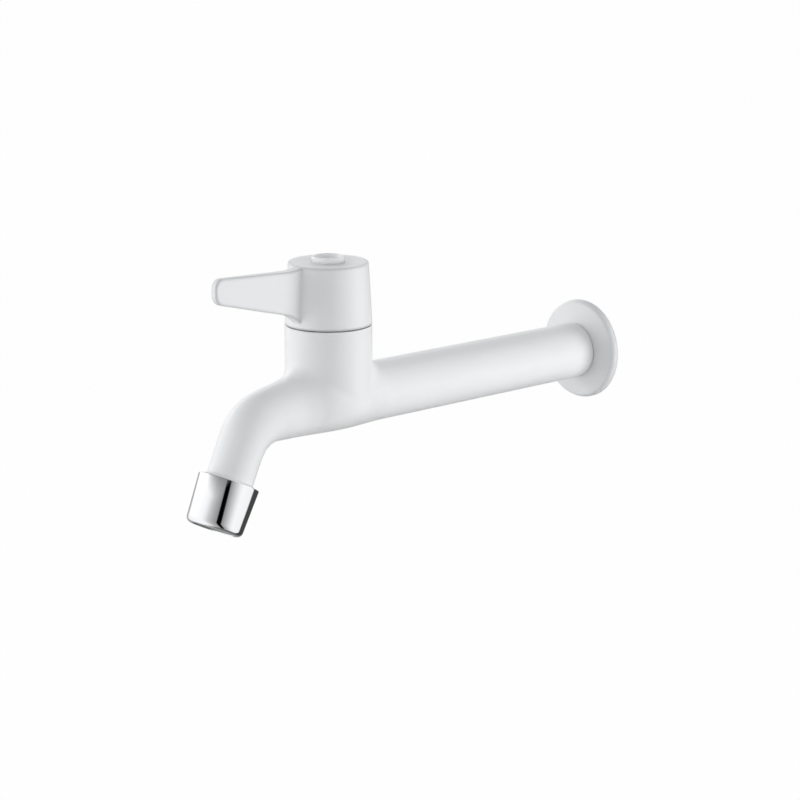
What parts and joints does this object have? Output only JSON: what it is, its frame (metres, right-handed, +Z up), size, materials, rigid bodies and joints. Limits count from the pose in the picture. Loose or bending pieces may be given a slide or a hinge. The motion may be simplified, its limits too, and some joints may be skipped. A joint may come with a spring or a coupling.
{
  "type": "wall tap",
  "caption": "Long white wall tap with a quarter-turn lever on an upright hub, a bent spout and a chromed outlet nozzle, with a threaded inlet behind a round cover disc.",
  "frame": {"origin": "centre of the cover disc's back, in the wall plane, on the axis of the inlet thread", "axes": "+Z up, +Y into the wall along the inlet thread, and the tap stands out along -Y"},
  "size_m": [0.0448, 0.2482, 0.1144],
  "materials": {
    "white_body": "gloss moulded",
    "white_disc": "gloss moulded",
    "white_handle": "gloss moulded",
    "white_cap": "gloss moulded",
    "brass": "machined",
    "fibre_washer": "fibre",
    "seat_rubber": "matt",
    "ceramic_white": "lapped",
    "ceramic_grey": "lapped",
    "spindle_brass": "machined",
    "ring_rubber": "matt",
    "spring_steel": "sprung",
    "slip_plastic": "plain",
    "screw_steel": "plated",
    "chrome": "polished",
    "seal_rubber": "matt",
    "cup_plastic": "plain",
    "jet_plastic": "plain",
    "screen_steel": "woven"
  },
  "bodies": {
    "tap": {"tap_body": "white_body", "wall_flange": "white_disc", "headwork_housing": "brass", "headwork_washer": "fibre_washer", "seat_seal": "seat_rubber", "fixed_disc": "ceramic_white", "nozzle_shell": "chrome", "nozzle_seal": "seal_rubber", "aerator_housing": "cup_plastic", "aerator_jet_disc": "jet_plastic", "aerator_screens": "screen_steel"},
    "handle_set": {"handle": "white_handle", "handle_screw": "screw_steel", "screw_cap": "white_cap", "spindle": "spindle_brass", "spindle_o_rings": "ring_rubber", "spindle_clip": "spring_steel", "slip_washer": "slip_plastic", "moving_disc": "ceramic_grey"}
  },
  "joints": [
    {"name": "handle_turn", "type": "hinge", "parent": "tap", "child": "handle_set", "pos_m": [0, -0.159, 0], "axis": [0, 0, 1], "range_deg": [0, 90]}
  ]
}
